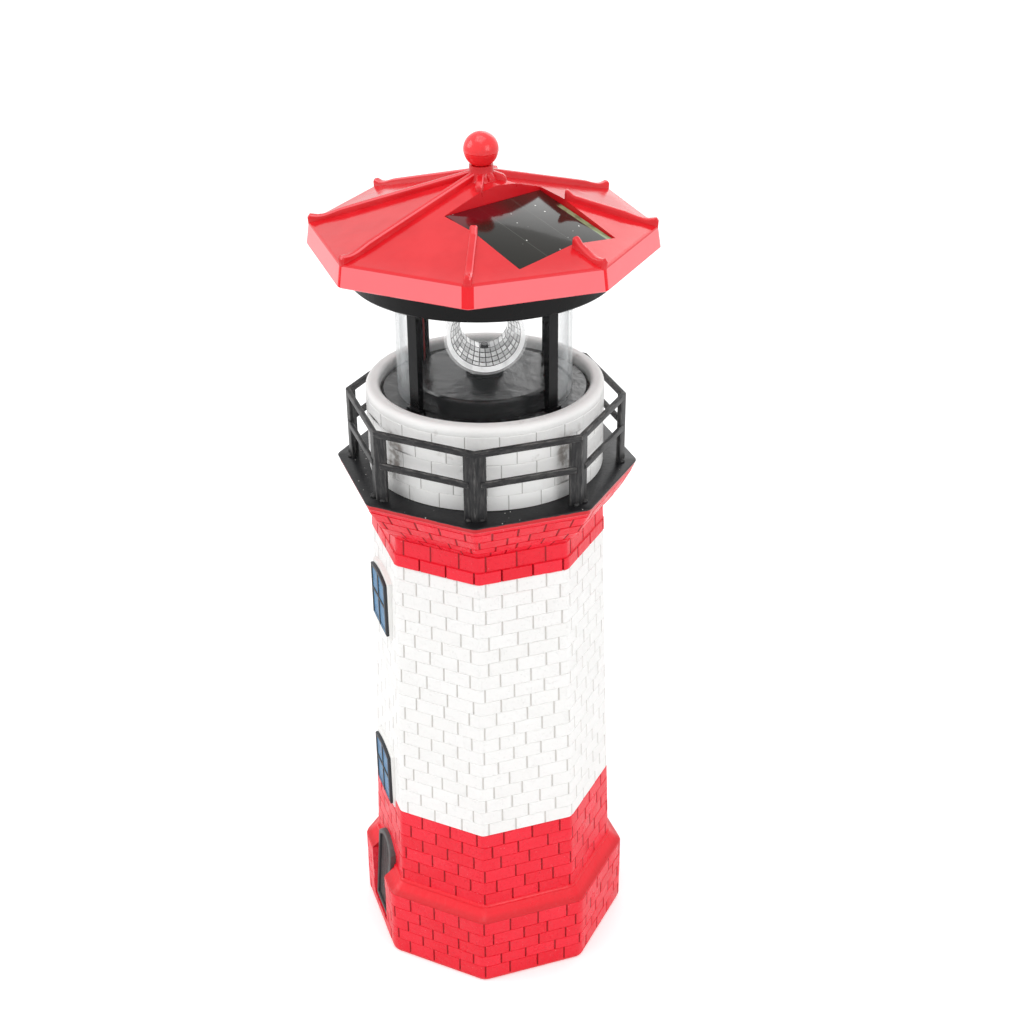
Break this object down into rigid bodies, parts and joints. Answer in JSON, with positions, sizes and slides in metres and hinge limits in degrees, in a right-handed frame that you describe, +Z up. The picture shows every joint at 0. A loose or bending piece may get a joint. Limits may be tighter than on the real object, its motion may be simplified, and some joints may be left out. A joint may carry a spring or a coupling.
{
  "type": "garden lighthouse light",
  "caption": "Octagonal brick lighthouse ornament with a railed gallery and a plug-in solar lantern whose double bowl turns inside a clear tube under a red roof.",
  "frame": {"origin": "centre of the plinth's underside, on the ground", "axes": "+Z up along the tower, -Y towards the door"},
  "size_m": [0.093, 0.093, 0.27],
  "materials": {
    "painted_resin": "painted cast resin, brick relief",
    "black_paint": "satin black paint, rubbed edges",
    "black_plastic": "glossy black moulding",
    "clear_plastic": "clear acrylic",
    "roof_red": "glossy red moulding",
    "panel_dark": "dark solar panel under clear resin",
    "foam_black": "closed-cell foam",
    "steel": "plain steel",
    "brass": "plain brass",
    "white_nylon": "natural nylon",
    "board_green": "green lacquered board",
    "lead_red": "insulated wire",
    "cell_wrap": "printed sleeve, plain",
    "led_resin": "clear lamp resin"
  },
  "bodies": {
    "tower": {"tower_casting": "painted_resin", "railing_posts": "black_paint", "top_rail": "black_paint", "mid_rail": "black_paint"},
    "lantern": {"lantern_base": "black_plastic", "lens_cylinder": "clear_plastic", "lantern_post_1": "black_plastic", "lantern_post_2": "black_plastic", "lantern_post_3": "black_plastic", "lantern_post_4": "black_plastic", "ceiling_tray": "black_plastic", "roof_cap": "roof_red", "finial_ball": "roof_red", "solar_panel": "panel_dark", "panel_gasket": "foam_black", "roof_screws": "steel", "led_board": "board_green", "led_lamp": "led_resin", "panel_lead": "lead_red", "led_lead": "lead_red", "spindle_bush": "brass", "idler_axle": "steel", "motor": "steel", "motor_screws": "steel", "gear_plate": "steel", "plate_screws": "steel", "drive_housing": "black_plastic", "housing_screws": "steel", "plus_contact": "steel", "control_board": "board_green", "board_parts": "black_plastic", "motor_leads": "lead_red", "switch_body": "black_plastic"},
    "beacon": {"beacon_lens": "clear_plastic", "beacon_hub": "black_plastic", "spindle": "steel", "output_gear": "white_nylon"},
    "idler": {"idler_gear": "white_nylon"},
    "rotor": {"motor_pinion": "brass", "motor_shaft": "steel"},
    "switch": {"switch_slider": "white_nylon"},
    "cap": {"battery_cap": "black_plastic", "cap_screw": "steel", "battery_spring": "steel"},
    "cell": {"battery": "cell_wrap"}
  },
  "joints": [
    {"name": "lantern_lift", "type": "slide", "parent": "tower", "child": "lantern", "axis": [0, 0, 1], "range_m": [0, 0.076]},
    {"name": "beacon_spin", "type": "hinge", "parent": "lantern", "child": "beacon", "pos_m": [0, 0, 0.2], "axis": [0, 0, 1], "continuous": true},
    {"name": "idler_spin", "type": "hinge", "parent": "lantern", "child": "idler", "pos_m": [0.0065, 0.01009, 0.185], "axis": [0, 0, 1], "continuous": true},
    {"name": "rotor_spin", "type": "hinge", "parent": "lantern", "child": "rotor", "pos_m": [0.013, 0, 0.183], "axis": [0, 0, 1], "continuous": true},
    {"name": "switch_slide", "type": "slide", "parent": "lantern", "child": "switch", "axis": [1, 0, 0], "range_m": [0, 0.003]},
    {"name": "battery_removal", "type": "slide", "parent": "lantern", "child": "cell", "axis": [0, 0, -1], "range_m": [0, 0.062]},
    {"name": "cap_removal", "type": "slide", "parent": "lantern", "child": "cap", "axis": [0, 0, -1], "range_m": [0, 0.0689]}
  ],
  "couplings": [
    {"joint": "idler_spin", "follows": "beacon_spin", "ratio": -3},
    {"joint": "rotor_spin", "follows": "beacon_spin", "ratio": 9},
    {"joint": "cap_removal", "follows": "battery_removal", "ratio": 1.1}
  ]
}
